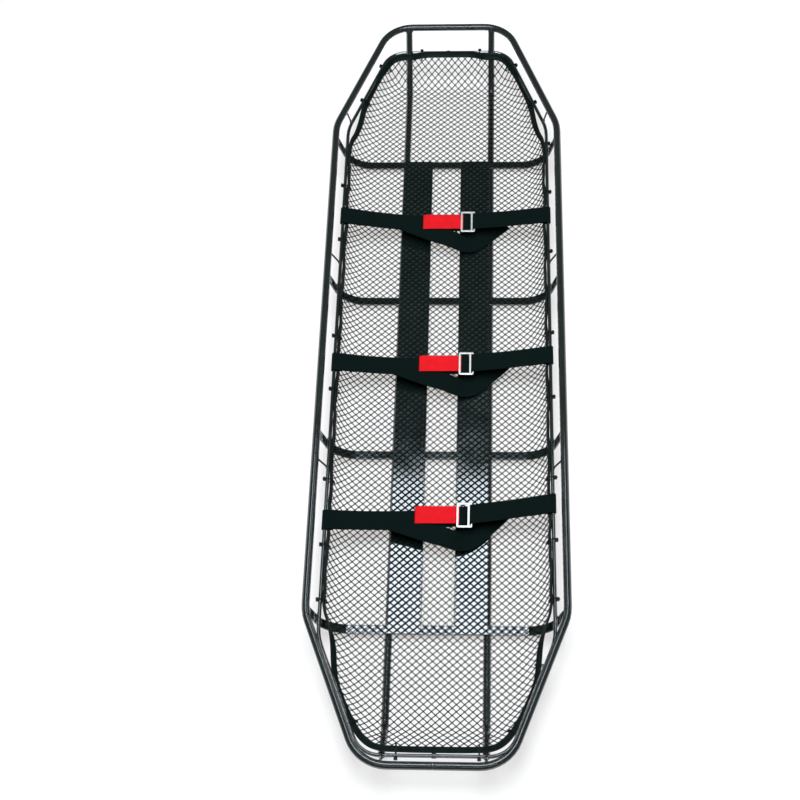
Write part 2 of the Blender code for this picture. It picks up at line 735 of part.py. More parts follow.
def main():
    """Build the whole stretcher."""
    clear_scene()
    group = make_collection(COLLECTION)
    cutters = make_collection(CUTTERS)
    steel = make_material("black_powder_coat", (0.012, 0.022, 0.020), 0.25, 0.0)
    netting = make_material("black_netting", (0.010, 0.018, 0.016), 0.55, 0.0)
    webbing = make_material("black_webbing", (0.009, 0.018, 0.017), 0.8, 0.0)
    red = make_material("red_webbing", (0.78, 0.018, 0.024), 0.7, 0.0)
    nickel = make_material("nickel_plate", (0.78, 0.76, 0.70), 0.25, 1.0)
    build_rail(steel, group, cutters)
    build_side_rod(steel, group)
    rail_cutters = {side: add_cutter(f"rail_saddle_{side + 1}", rail_path(side), RAIL_RADIUS + GAP, cutters)
                    for side in (-1, 1)}
    build_runners(steel, group, rail_cutters, cutters)
    build_ribs(steel, group, rail_cutters)
    build_slats(steel, group)
    build_struts(steel, group)
    build_lining(netting, group)
    build_straps(webbing, red, nickel, group)


main()
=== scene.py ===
import math
import random

import bmesh
import bpy
from mathutils import Matrix, Vector


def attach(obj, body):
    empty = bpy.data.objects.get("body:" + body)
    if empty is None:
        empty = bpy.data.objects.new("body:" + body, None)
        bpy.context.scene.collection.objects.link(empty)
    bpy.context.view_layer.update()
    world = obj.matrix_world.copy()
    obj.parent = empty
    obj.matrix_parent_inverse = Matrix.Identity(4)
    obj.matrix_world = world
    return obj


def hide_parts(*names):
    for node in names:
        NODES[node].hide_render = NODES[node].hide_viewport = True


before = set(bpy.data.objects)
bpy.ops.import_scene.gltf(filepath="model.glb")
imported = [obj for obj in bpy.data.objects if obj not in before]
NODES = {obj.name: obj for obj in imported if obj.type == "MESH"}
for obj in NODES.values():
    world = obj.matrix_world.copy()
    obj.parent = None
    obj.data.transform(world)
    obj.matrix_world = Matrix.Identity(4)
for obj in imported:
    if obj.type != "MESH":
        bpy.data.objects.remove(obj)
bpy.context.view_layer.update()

# Heights and sizes repeated from the CAD, in metres.
RAIL_Z = 0.140
ROD_Z = 0.082
ROD_X = 0.2706
ROD_RADIUS = 0.00475
ROD_END_Y = 1.018
ROD_SHOULDER_Y = 0.743
ROD_END_X = 0.1638
ROD_BENDS = (0.065, 0.12)
RAIL_X = 0.297
RAIL_END_Y = 1.059
RAIL_SHOULDER_Y = 0.7074
RAIL_END_X = 0.161
RAIL_BENDS = (0.090, 0.12)
RAIL_RADIUS = 0.0095
RUNNER_X = 0.115
RUNNER_HEAD_SHIFT = 0.0055
RUNNER_HEAD_Y = 0.927
RUNNER_RADIUS = 0.009
RIB_YS = (0.664, 0.2165, -0.239, -0.699)
STRUT_YS = (0.764, 0.295, -0.307, -0.775)
WEB_WIDTH = 0.050
BUCKLE_Z = 0.0562
STRAPS = (
    {"left": 0.448, "right": 0.448, "buckle": 0.447},
    {"left": -0.007, "right": 0.014, "buckle": 0.0055},
    {"left": -0.447, "right": -0.400, "buckle": -0.4187},
)


# ---------------------------------------------------------------- materials

def node(tree, kind, **inputs):
    """Add a shader node and set its unlinked inputs."""
    made = tree.nodes.new(kind)
    for name, value in inputs.items():
        made.inputs[name.replace("_", " ")].default_value = value
    return made


def base_material(name, colour, roughness, metallic=0.0):
    """A Principled material, its tree and its shader."""
    material = bpy.data.materials.new(name)
    material.use_nodes = True
    tree = material.node_tree
    shader = tree.nodes["Principled BSDF"]
    shader.inputs["Base Color"].default_value = (*colour, 1)
    shader.inputs["Roughness"].default_value = roughness
    shader.inputs["Metallic"].default_value = metallic
    return material, tree, shader


def object_noise(tree, scale, detail=4.0, stretch=(1, 1, 1)):
    """Noise in object coordinates."""
    coords = tree.nodes.new("ShaderNodeTexCoord")
    mapping = tree.nodes.new("ShaderNodeMapping")
    mapping.inputs["Scale"].default_value = stretch
    noise = node(tree, "ShaderNodeTexNoise", Scale=scale, Detail=detail)
    tree.links.new(coords.outputs["Object"], mapping.inputs["Vector"])
    tree.links.new(mapping.outputs["Vector"], noise.inputs["Vector"])
    return noise


def ramp(tree, source, low, high, low_at=0.3, high_at=0.7):
    """A two-colour ramp over a value."""
    made = tree.nodes.new("ShaderNodeValToRGB")
    made.color_ramp.elements[0].position = low_at
    made.color_ramp.elements[1].position = high_at
    made.color_ramp.elements[0].color = (*low, 1)
    made.color_ramp.elements[1].color = (*high, 1)
    tree.links.new(source, made.inputs["Fac"])
    return made


def value_range(tree, source, low, high, from_low=0.3, from_high=0.7):
    """Map a value to a range."""
    made = tree.nodes.new("ShaderNodeMapRange")
    made.inputs["From Min"].default_value = from_low
    made.inputs["From Max"].default_value = from_high
    made.inputs["To Min"].default_value = low
    made.inputs["To Max"].default_value = high
    tree.links.new(source, made.inputs["Value"])
    return made


def bump(tree, shader, source, strength, distance):
    """Bump a shader's normal with a height."""
    made = node(tree, "ShaderNodeBump", Strength=strength, Distance=distance)
    tree.links.new(source, made.inputs["Height"])
    tree.links.new(made.outputs["Normal"], shader.inputs["Normal"])
    return made


def powder_coat(name, dark, light, roughness):
    """Glossy powder coat: a cloudy tint, a faint orange-peel bump and softened edges."""
    material, tree, shader = base_material(name, dark, roughness)
    shader.inputs["Specular IOR Level"].default_value = 1.0
    shader.inputs["Coat Weight"].default_value = 1.0
    shader.inputs["Coat Roughness"].default_value = 0.08
    cloud = object_noise(tree, 14.0)
    tint = ramp(tree, cloud.outputs["Fac"], dark, light)
    tree.links.new(tint.outputs["Color"], shader.inputs["Base Color"])
    rough = value_range(tree, cloud.outputs["Fac"], roughness - 0.05, roughness + 0.08)
    tree.links.new(rough.outputs["Result"], shader.inputs["Roughness"])
    peel = object_noise(tree, 420.0, 2.0)
    relief = bump(tree, shader, peel.outputs["Fac"], 0.05, 0.0004)
    eased = node(tree, "ShaderNodeBevel", Radius=0.0028)
    eased.samples = 6
    tree.links.new(eased.outputs["Normal"], relief.inputs["Normal"])
    return material


def net_plastic():
    """Black moulded plastic of the net."""
    dark, light = (0.0015, 0.0038, 0.0034), (0.004, 0.0085, 0.0075)
    material, tree, shader = base_material("net_plastic", dark, 0.48)
    shader.inputs["Specular IOR Level"].default_value = 0.12
    cloud = object_noise(tree, 40.0)
    tint = ramp(tree, cloud.outputs["Fac"], dark, light)
    tree.links.new(tint.outputs["Color"], shader.inputs["Base Color"])
    grain = object_noise(tree, 900.0, 2.0)
    bump(tree, shader, grain.outputs["Fac"], 0.15, 0.0003)
    return material


WEAVE_RIB_PERIOD = 0.0019
WEAVE_YARN_PERIOD = 0.0016


def webbing(name, dark, light, roughness, sheen):
    """Woven webbing: cross ribs and long yarns from the UV map, which is in metres."""
    material, tree, shader = base_material(name, dark, roughness)
    shader.inputs["Sheen Weight"].default_value = sheen
    shader.inputs["Sheen Roughness"].default_value = 0.5
    shader.inputs["Sheen Tint"].default_value = (0.55, 0.6, 0.6, 1)
    shader.inputs["Specular IOR Level"].default_value = 0.06
    coords = tree.nodes.new("ShaderNodeUVMap")
    coords.uv_map = "weave"
    split = tree.nodes.new("ShaderNodeSeparateXYZ")
    tree.links.new(coords.outputs["UV"], split.inputs["Vector"])
    waves = []
    for output, period in (("X", WEAVE_RIB_PERIOD), ("Y", WEAVE_YARN_PERIOD)):
        scaled = tree.nodes.new("ShaderNodeMath")
        scaled.operation = "MULTIPLY"
        scaled.inputs[1].default_value = 2 * math.pi / period
        tree.links.new(split.outputs[output], scaled.inputs[0])
        waves.append(scaled)
    sines = []
    for wave in waves:
        sine = tree.nodes.new("ShaderNodeMath")
        sine.operation = "SINE"
        tree.links.new(wave.outputs["Value"], sine.inputs[0])
        sines.append(sine)
    weave = tree.nodes.new("ShaderNodeMath")
    weave.operation = "MULTIPLY"
    for index, sine in enumerate(sines):
        tree.links.new(sine.outputs["Value"], weave.inputs[index])
    tint = ramp(tree, weave.outputs["Value"], dark, light, 0.0, 1.0)
    fuzz = object_noise(tree, 60.0)
    mix = tree.nodes.new("ShaderNodeMix")
    mix.data_type = "RGBA"
    mix.blend_type = "MULTIPLY"
    mix.inputs["Factor"].default_value = 0.35
    tree.links.new(tint.outputs["Color"], mix.inputs[6])
    tree.links.new(fuzz.outputs["Color"], mix.inputs[7])
    tree.links.new(mix.outputs[2], shader.inputs["Base Color"])
    bump(tree, shader, weave.outputs["Value"], 0.45, 0.0004)
    return material


def nickel_plate():
    """Nickel plating with faint scratches."""
    dark, light = (0.56, 0.54, 0.49), (0.74, 0.71, 0.65)
    material, tree, shader = base_material("nickel", light, 0.24, 0.55)
    cloud = object_noise(tree, 90.0, 5.0)
    tint = ramp(tree, cloud.outputs["Fac"], dark, light)
    tree.links.new(tint.outputs["Color"], shader.inputs["Base Color"])
    scratch = object_noise(tree, 300.0, 3.0, (8, 1, 1))
    rough = value_range(tree, scratch.outputs["Fac"], 0.26, 0.42)
    tree.links.new(rough.outputs["Result"], shader.inputs["Roughness"])
    bump(tree, shader, scratch.outputs["Fac"], 0.08, 0.0002)
    return material


COAT = powder_coat("powder_coat", (0.002, 0.0055, 0.0050), (0.004, 0.0090, 0.0080), 0.09)
BEAD = powder_coat("weld_coat", (0.004, 0.008, 0.007), (0.012, 0.018, 0.018), 0.14)
NET = net_plastic()
BLACK_WEB = webbing("black_webbing_weave", (0.0012, 0.0046, 0.0040), (0.0045, 0.0125, 0.0110),
                    0.78, 0.02)
RED_WEB = webbing("red_webbing_weave", (0.66, 0.008, 0.013), (0.90, 0.015, 0.022), 0.62, 0.02)
THREAD = webbing("thread", (0.003, 0.007, 0.006), (0.010, 0.020, 0.018), 0.7, 0.03)
NICKEL = nickel_plate()


# ---------------------------------------------------------------- mesh helpers

def link(name, bm, material, body, smooth=True):
    """Turn a bmesh into a named piece that rides on a body."""
    bmesh.ops.recalc_face_normals(bm, faces=bm.faces)
    mesh = bpy.data.meshes.new(name)
    bm.to_mesh(mesh)
    bm.free()
    if smooth:
        mesh.shade_smooth()
    mesh.materials.append(material)
    made = bpy.data.objects.new(name, mesh)
    bpy.context.scene.collection.objects.link(made)
    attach(made, body)
    return made


def rounded_path(corners, radii, step=math.radians(6)):
    """Round the inner corners of an open path with arcs."""
    points = [Vector(corners[0])]
    for before, corner, after, radius in zip(corners, corners[1:], corners[2:], radii):
        before, corner, after = Vector(before), Vector(corner), Vector(after)
        into = (corner - before).normalized()
        out = (after - corner).normalized()
        turn = into.angle(out)
        start = corner - into * radius * math.tan(turn / 2)
        centre = corner + (out - into).normalized() * (radius / math.cos(turn / 2))
        axis = into.cross(out).normalized()
        steps = max(2, math.ceil(turn / step))
        for index in range(steps + 1):
            spin = Matrix.Rotation(turn * index / steps, 3, axis)
            points.append(centre + spin @ (start - centre))
    points.append(Vector(corners[-1]))
    return points


def ring_path(half_width, end_y, shoulder_y, end_x, z, bends):
    """One right half of an eight-sided ring, from the head's middle to the foot's."""
    corners = [(0, end_y, z), (end_x, end_y, z), (half_width, shoulder_y, z),
               (half_width, -shoulder_y, z), (end_x, -end_y, z), (0, -end_y, z)]
    return rounded_path(corners, (bends[0], bends[1], bends[1], bends[0]))


def crossing(path, axis, value, last=False):
    """The point where a path passes a coordinate, its first pass or its last."""
    pairs = list(zip(path, path[1:]))
    if last:
        pairs.reverse()
    for first, second in pairs:
        low, high = sorted((first[axis], second[axis]))
        if low <= value <= high and low < high:
            return first.lerp(second, (value - first[axis]) / (second[axis] - first[axis]))
    return path[-1]


def mirrored(point, side):
    """A point on the given side."""
    return Vector((side * point.x, point.y, point.z))


ROD_PATH = ring_path(ROD_X, ROD_END_Y, ROD_SHOULDER_Y, ROD_END_X, ROD_Z, ROD_BENDS)
RAIL_PATH = ring_path(RAIL_X, RAIL_END_Y, RAIL_SHOULDER_Y, RAIL_END_X, RAIL_Z, RAIL_BENDS)


def tube(bm, path, radii, sides):
    """Sweep a round section along a path with parallel frames, its ends capped."""
    last = len(path) - 1
    rings = []
    previous = None
    for index, (point, radius) in enumerate(zip(path, radii)):
        tangent = (path[min(index + 1, last)] - path[max(index - 1, 0)]).normalized()
        if previous is None:
            guide = Vector((0, 0, 1)) if abs(tangent.z) < 0.9 else Vector((1, 0, 0))
            normal = (guide - tangent * guide.dot(tangent)).normalized()
        else:
            normal = (previous - tangent * previous.dot(tangent)).normalized()
        previous = normal
        side = tangent.cross(normal)
        ring = []
        for corner in range(sides):
            angle = 2 * math.pi * corner / sides
            offset = normal * math.cos(angle) * radius + side * math.sin(angle) * radius
            ring.append(bm.verts.new(point + offset))
        rings.append(ring)
    for first, second in zip(rings, rings[1:]):
        for corner in range(sides):
            after = (corner + 1) % sides
            bm.faces.new((first[corner], first[after], second[after], second[corner]))
    bm.faces.new(list(reversed(rings[0])))
    bm.faces.new(rings[-1])


def blob(bm, centre, radii, segments=10, rings=6, tilt=None, rng=None, rough=0.0):
    """A small ellipsoid, roughened a little where asked."""
    made = bmesh.ops.create_uvsphere(bm, u_segments=segments, v_segments=rings, radius=1.0)
    for vert in made["verts"]:
        place = Vector((vert.co.x * radii[0], vert.co.y * radii[1], vert.co.z * radii[2]))
        if rng:
            place *= 1 + rng.uniform(-rough, rough)
        if tilt:
            place = tilt @ place
        vert.co = centre + place


# ---------------------------------------------------------------- the frame's finish

for node_name, cad in NODES.items():
    cad.data.materials.clear()
    cad.data.materials.append(NICKEL if node_name.startswith("buckle_") else COAT)

WELD_BLOBS = 7
WELD_BLOB_RADIUS = 0.0021
WELD_ROUGHNESS = 0.12
BEAD_ROUGHNESS = 0.10
STRUT_WELD_RADIUS = 0.0024
# A bead's place about its joint (across, along, up) and its radii.
RIB_TO_ROD = (0.0036, 0.0095, 0.0048)
RIB_TO_ROD_BEAD = (0.0022, 0.0042, 0.0024)
CROSS_TO_RUNNER = (0, -0.0055, 0.0070)
CROSS_TO_RUNNER_BEAD = (0.0026, 0.0022, 0.0022)
CROSS_UP_RUNNER = 0.112
# A row of beads under the rail and beside the runner: across, the row's length, down or up.
RIB_TO_RAIL = (0.0064, 0.020, 0.0082)
RIB_TO_RAIL_BEAD = (0.0020, 0.0022, 0.0020)
RIB_TO_RUNNER = (0.0072, 0.018, 0.0170)
RIB_TO_RUNNER_BEAD = (0.0018, 0.0026, 0.0018)
# A post's weld: its distance from the bar's middle and the ring's radius.
POST_TO_RAIL = (0.0086, 0.0046)
POST_TO_ROD = (0.0048, 0.0044)


def weld(bm, centre, along, radius, rng):
    """A weld bead: a lumpy ring of small blobs round a joint."""
    axis = along.normalized()
    guide = Vector((0, 0, 1)) if abs(axis.z) < 0.9 else Vector((1, 0, 0))
    first = axis.cross(guide).normalized()
    second = axis.cross(first)
    for index in range(WELD_BLOBS):
        angle = 2 * math.pi * index / WELD_BLOBS + rng.uniform(-0.2, 0.2)
        offset = first * math.cos(angle) * radius + second * math.sin(angle) * radius
        size = WELD_BLOB_RADIUS * rng.uniform(0.8, 1.2)
        blob(bm, centre + offset, (size, size, size), 8, 5, None, rng, WELD_ROUGHNESS)


def build_welds():
    """Weld beads where ribs, struts and posts meet the rail, the side rod and the runners."""
    rng = random.Random(7)
    bm = bmesh.new()
    for side in (-1, 1):
        for y in STRUT_YS:
            top = mirrored(crossing(RAIL_PATH, 1, y), side)
            low = mirrored(crossing(ROD_PATH, 1, y), side)
            along = (low - top).normalized()
            weld(bm, top + along * (RAIL_RADIUS + 0.0006), along, STRUT_WELD_RADIUS, rng)
            weld(bm, low - along * (ROD_RADIUS + 0.0004), along, STRUT_WELD_RADIUS, rng)
        for y in RIB_YS:
            rod = mirrored(crossing(ROD_PATH, 1, y), side)
            across, shift, up = RIB_TO_ROD
            for end in (-1, 1):
                centre = rod + Vector((side * across, end * shift, up))
                blob(bm, centre, RIB_TO_ROD_BEAD, 10, 6, None, rng, BEAD_ROUGHNESS)
            rail = mirrored(crossing(RAIL_PATH, 1, y), side)
            across, length, down = RIB_TO_RAIL
            for step in range(8):
                centre = rail + Vector((-side * across, (step / 7 - 0.5) * length, -down))
                blob(bm, centre, RIB_TO_RAIL_BEAD, 8, 5, None, rng, WELD_ROUGHNESS)
            across, length, up = RIB_TO_RUNNER
            for inward in (-1, 1):
                x = side * (RUNNER_X + inward * across)
                for step in range(5):
                    centre = Vector((x, y + (step / 4 - 0.5) * length, up))
                    blob(bm, centre, RIB_TO_RUNNER_BEAD, 8, 5, None, rng, WELD_ROUGHNESS)
        head_x = side * RUNNER_X + RUNNER_HEAD_SHIFT
        head = mirrored(crossing(RAIL_PATH, 0, abs(head_x)), side)
        rise = Vector((0, head.y - RUNNER_HEAD_Y, RAIL_Z - RUNNER_RADIUS)).normalized()
        weld(bm, head - rise * (RAIL_RADIUS + 0.0008), rise, RUNNER_RADIUS, rng)
        cross = Vector((head_x, RUNNER_HEAD_Y, RUNNER_RADIUS)) + rise * CROSS_UP_RUNNER
        centre = cross + Vector(CROSS_TO_RUNNER)
        blob(bm, centre, CROSS_TO_RUNNER_BEAD, 10, 6, None, rng, BEAD_ROUGHNESS)
        foot_rail = mirrored(crossing(RAIL_PATH, 0, RUNNER_X, True), side)
        foot_rod = mirrored(crossing(ROD_PATH, 0, RUNNER_X, True), side)
        drop = (foot_rod - foot_rail).normalized()
        distance, radius = POST_TO_RAIL
        weld(bm, foot_rail + drop * distance, drop, radius, rng)
        distance, radius = POST_TO_ROD
        weld(bm, foot_rod - drop * distance, drop, radius, rng)
    link("weld_beads", bm, BEAD, "basket")


build_welds()


# ---------------------------------------------------------------- net lining

NET_FLOOR_Z = 0.0268
CELL_X = 0.0187
CELL_Y = 0.0171
LATTICE_COLUMNS = 34
LATTICE_ROWS = 130
LATTICE_START_ROWS = 200
# Each set of strands: name, step along the rows, radius at a crossing, radius between, height shift.
STRANDS = (
    ("rising", 1, 0.00158, 0.00134, 0.0002),
    ("falling", -1, 0.00152, 0.00118, -0.0002),
)
STRAND_SIDES = 5
STRAND_EDGE_GAP = 0.0022
SPREAD_FLAT_X = 0.2003
SPREAD_RADIUS = 0.0738
SPREAD_MAX_ANGLE = 1.25
SIDE_RUN = 0.0615
HEAD_FLOOR_Y = 0.928
FOOT_FLOOR_Y = -0.934
BAND_HALF = 0.0090
BAND_THICKNESS = 0.0024
BAND_HEAD = (
    (0.0, 1.0105, 0.0838), (0.055, 1.0100, 0.0838), (0.084, 1.0040, 0.0855), (0.103, 0.9945, 0.0898),
    (0.126, 0.9945, 0.0900), (0.147, 0.9905, 0.0875), (0.165, 0.9760, 0.0840), (0.190, 0.9320, 0.0800),
    (0.2110, 0.8790, 0.0785), (0.2245, 0.8400, 0.0775), (0.2325, 0.8060, 0.0765),
    (0.2385, 0.7670, 0.0765), (0.2480, 0.7300, 0.0770), (0.2600, 0.7010, 0.0775),
)
BAND_FOOT = (
    (0.2630, -0.6500, 0.0775), (0.2575, -0.6830, 0.0775), (0.2485, -0.7090, 0.0770),
    (0.2395, -0.7400, 0.0765), (0.2345, -0.7700, 0.0765), (0.2310, -0.8080, 0.0765),
    (0.2240, -0.8480, 0.0770), (0.2060, -0.8950, 0.0780), (0.183, -0.9440, 0.0800),
    (0.164, -0.9740, 0.0820), (0.143, -0.9930, 0.0830), (0.118, -1.0020, 0.0840),
    (0.086, -1.0035, 0.0825), (0.050, -1.0040, 0.0815), (0.0, -1.0040, 0.0812),
)
BAND_SIDE_X = 0.2638
BAND_SIDE_Z = 0.0778
BAND_UNDER_STRAP_Z = 0.0668


def smoothstep(low, high, value):
    """Ease from 0 to 1 between two values."""
    share = min(1.0, max(0.0, (value - low) / (high - low)))
    return share * share * (3 - 2 * share)


def spline(points, per_span):
    """A Catmull-Rom curve through points."""
    points = [Vector(point) for point in points]
    padded = [points[0] * 2 - points[1], *points, points[-1] * 2 - points[-2]]
    made = []
    for index in range(1, len(padded) - 2):
        a, b, c, d = padded[index - 1:index + 3]
        for step in range(per_span):
            t = step / per_span
            made.append(0.5 * ((2 * b) + (c - a) * t + (2 * a - 5 * b + 4 * c - d) * t * t
                               + (3 * b - a - 3 * c + d) * t ** 3))
    made.append(points[-1])
    return made


def band_side_points():
    """Control points of the band along one long side, dipping under each strap."""
    points = []
    count = 44
    for step in range(count + 1):
        y = 0.672 - 1.300 * step / count
        dip = max(math.exp(-((y - strap["right"]) / 0.042) ** 6) for strap in STRAPS)
        bow = 0.0012 * math.sin(y * 41.0) + 0.0008 * math.sin(y * 97.0 + 1.0)
        wave = 0.0010 * math.sin(y * 33.0 + 0.5)
        z = BAND_SIDE_Z + wave + (BAND_UNDER_STRAP_Z - BAND_SIDE_Z) * dip
        points.append((BAND_SIDE_X - 0.0015 + bow, y, z))
    return points


def band_loop():
    """The closed line of the band, right side then left side."""
    right = spline(list(BAND_HEAD) + band_side_points() + list(BAND_FOOT), 4)
    left = [Vector((-point.x, point.y, point.z)) for point in reversed(right[1:-1])]
    return right + left


BAND = band_loop()
SEGMENTS = []
for index, start in enumerate(BAND):
    end = BAND[(index + 1) % len(BAND)]
    SEGMENTS.append((start.x, start.y, start.z, end.x - start.x, end.y - start.y, end.z - start.z))


def nearest_on_band(x, y):
    """The band's nearest point in plan, and the signed distance inwards."""
    best = None
    for sx, sy, sz, dx, dy, dz in SEGMENTS:
        length = dx * dx + dy * dy
        t = ((x - sx) * dx + (y - sy) * dy) / length
        t = 0.0 if t < 0 else 1.0 if t > 1 else t
        px, py = sx + t * dx, sy + t * dy
        gap = (x - px) ** 2 + (y - py) ** 2
        if best is None or gap < best[0]:
            inside = (dx * (y - sy) - dy * (x - sx)) < 0
            best = (gap, px, py, sz + t * dz, inside)
    gap, px, py, pz, inside = best
    return px, py, pz, math.sqrt(gap) * (1 if inside else -1)


ARC_SINE = 0.871
ARC_RISE = 1 - math.sqrt(1 - ARC_SINE ** 2)


def net_height(x, y):
    """The net's point above a place in plan; a place outside the band moves in to it."""
    px, py, pz, inside = nearest_on_band(x, y)
    if inside <= 0.0012:
        return px, py, pz - 0.0015
    floor_end = HEAD_FLOOR_Y if py > 0 else -FOOT_FLOOR_Y
    end_share = smoothstep(0.955, 0.985, abs(py))
    run = SIDE_RUN + (max(0.045, abs(py) - floor_end) - SIDE_RUN) * end_share
    t = max(0.0, 1 - inside / run)
    arc = (1 - math.sqrt(1 - (ARC_SINE * t) ** 2)) / ARC_RISE
    straight = t * t / (t + 0.05) * 1.05
    rise = arc + (straight - arc) * end_share
    ripple = 0.0006 * math.sin(x * 31 + y * 17) * math.sin(y * 23 - x * 9) * (1 - t)
    return x, y, NET_FLOOR_Z + abs(ripple) + (pz - NET_FLOOR_Z - 0.0015) * rise


def spread_x(a):
    """Plan position of a lattice column, closer together where the side rises."""
    if abs(a) <= SPREAD_FLAT_X:
        return a
    angle = min(SPREAD_MAX_ANGLE, (abs(a) - SPREAD_FLAT_X) / SPREAD_RADIUS)
    return math.copysign(SPREAD_FLAT_X + SPREAD_RADIUS * math.sin(angle), a)


def strand_points(i, j, step_j):
    """One strand's points, from where it leaves the band to where it meets it again."""
    points = []
    previous = None
    while abs(i) <= LATTICE_COLUMNS + 1 and abs(j) <= LATTICE_ROWS:
        x, y = spread_x(i * CELL_X / 2), j * CELL_Y / 2
        inside = nearest_on_band(x, y)[3] > STRAND_EDGE_GAP
        if inside and not points and previous:
            points.append(edge_point(x, y, *previous))
        if inside:
            points.append(Vector(net_height(x, y)))
        elif points:
            points.append(edge_point(points[-1].x, points[-1].y, x, y))
            return points
        previous = (x, y)
        i += 1
        j += step_j
    return points


def edge_point(in_x, in_y, out_x, out_y):
    """Where the line from an inside point to an outside point reaches the band."""
    low, high = 0.0, 1.0
    for _ in range(7):
        share = (low + high) / 2
        x, y = in_x + (out_x - in_x) * share, in_y + (out_y - in_y) * share
        if nearest_on_band(x, y)[3] > STRAND_EDGE_GAP:
            low = share
        else:
            high = share
    x, y = in_x + (out_x - in_x) * low, in_y + (out_y - in_y) * low
    return Vector(net_height(x, y))


def build_net():
    """The diamond net: strands both ways, thicker where they cross."""
    for name, step_j, knot, waist, shift in STRANDS:
        bm = bmesh.new()
        lift = Vector((0, 0, shift))
        for start_j in range(-LATTICE_START_ROWS, LATTICE_START_ROWS + 1, 2):
            i, j = -LATTICE_COLUMNS, start_j
            while abs(j) > LATTICE_ROWS and i < LATTICE_COLUMNS and (j < 0) == (step_j > 0):
                i += 1
                j += step_j
            points = strand_points(i, j, step_j)
            if len(points) < 3:
                continue
            path, radii = [], []
            for point, after in zip(points, points[1:]):
                path += [point + lift, point.lerp(after, 0.3) + lift, point.lerp(after, 0.7) + lift]
                radii += [knot, waist, waist]
            path.append(points[-1] + lift)
            radii.append(knot)
            tube(bm, path, radii, STRAND_SIDES)
        net = link(f"net_strands_{name}", bm, NET, "basket")
        if name == "rising":
            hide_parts("net_floor", "net_side_left", "net_side_right")


# The band's slope from the floor, in degrees, at each part of the basket.
LEAN_SIDE, LEAN_CORNER, LEAN_HEAD, LEAN_FOOT = 74, 48, 47, 24


def band_lean(y):
    """The band's slope from the floor, in radians, by where it is along the basket."""
    lean = LEAN_SIDE + (LEAN_CORNER - LEAN_SIDE) * smoothstep(0.69, 0.78, abs(y))
    end = LEAN_HEAD if y > 0 else LEAN_FOOT
    return math.radians(lean + (end - lean) * smoothstep(0.90, 0.985, abs(y)))


def band_frame(index):
    """The band's slope direction (upwards and outwards) and its inner normal at a point."""
    count = len(BAND)
    tangent = (BAND[(index + 1) % count] - BAND[index - 1]).normalized()
    outward = Vector((-tangent.y, tangent.x, 0)).normalized()
    if outward.dot(BAND[index]) < 0:
        outward = -outward
    lean = band_lean(BAND[index].y)
    slope = outward * math.cos(lean) + Vector((0, 0, math.sin(lean)))
    slope = (slope - tangent * slope.dot(tangent)).normalized()
    return slope, tangent.cross(slope)


def build_band():
    """The band round the net's edge: a flat bound strip that leans with the net."""
    bm = bmesh.new()
    rings = []
    half, thick = BAND_HALF, BAND_THICKNESS / 2
    edge, hem, hem_end = 0.0005, 0.0022, 0.0034
    ridge = thick * 1.25
    section = (
        (-half, 0.0), (-half + edge, thick), (-half + hem, ridge), (-half + hem_end, thick),
        (half - hem_end, thick), (half - hem, ridge), (half - edge, thick), (half, 0.0),
        (half - edge, -thick), (-half + edge, -thick),
    )
    count = len(BAND)
    for index, point in enumerate(BAND):
        slope, normal = band_frame(index)
        rings.append([bm.verts.new(point + slope * u + normal * v) for u, v in section])
    sides = len(section)
    for index in range(count):
        first, second = rings[index], rings[(index + 1) % count]
        for corner in range(sides):
            after = (corner + 1) % sides
            bm.faces.new((first[corner], second[corner], second[after], first[after]))
    band = link("net_band", bm, NET, "basket")
    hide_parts("net_border")


build_net()
build_band()

TIES_LEFT = (
    (-0.189, 0.968), (-0.233, 0.844), (-0.280, 0.549), (-0.281, 0.373), (-0.282, 0.072),
    (-0.283, -0.084), (-0.281, -0.338), (-0.282, -0.511), (-0.281, -0.651), (-0.184, -0.946),
)
TIES_RIGHT = (
    (0.180, 0.968), (0.236, 0.833), (0.280, 0.690), (0.282, 0.526), (0.282, 0.332), (0.281, 0.082),
    (0.282, -0.105), (0.283, -0.329), (0.284, -0.494), (0.281, -0.644), (0.234, -0.807),
    (0.179, -0.964),
)
TIES_ENDS = ((-0.075, 1.0), (0.088, 1.0), (-0.084, -1.0), (0.099, -1.0))
TIE_HALF_WIDTH = 0.0018
TIE_HALF_THICKNESS = 0.0005
TIE_STEPS = 22
TIE_HEAD_SIZE = (0.0082, 0.0056, 0.0068)
TIE_STUB_WIDTH = 0.0036
TIE_STUB_THICKNESS = 0.0013


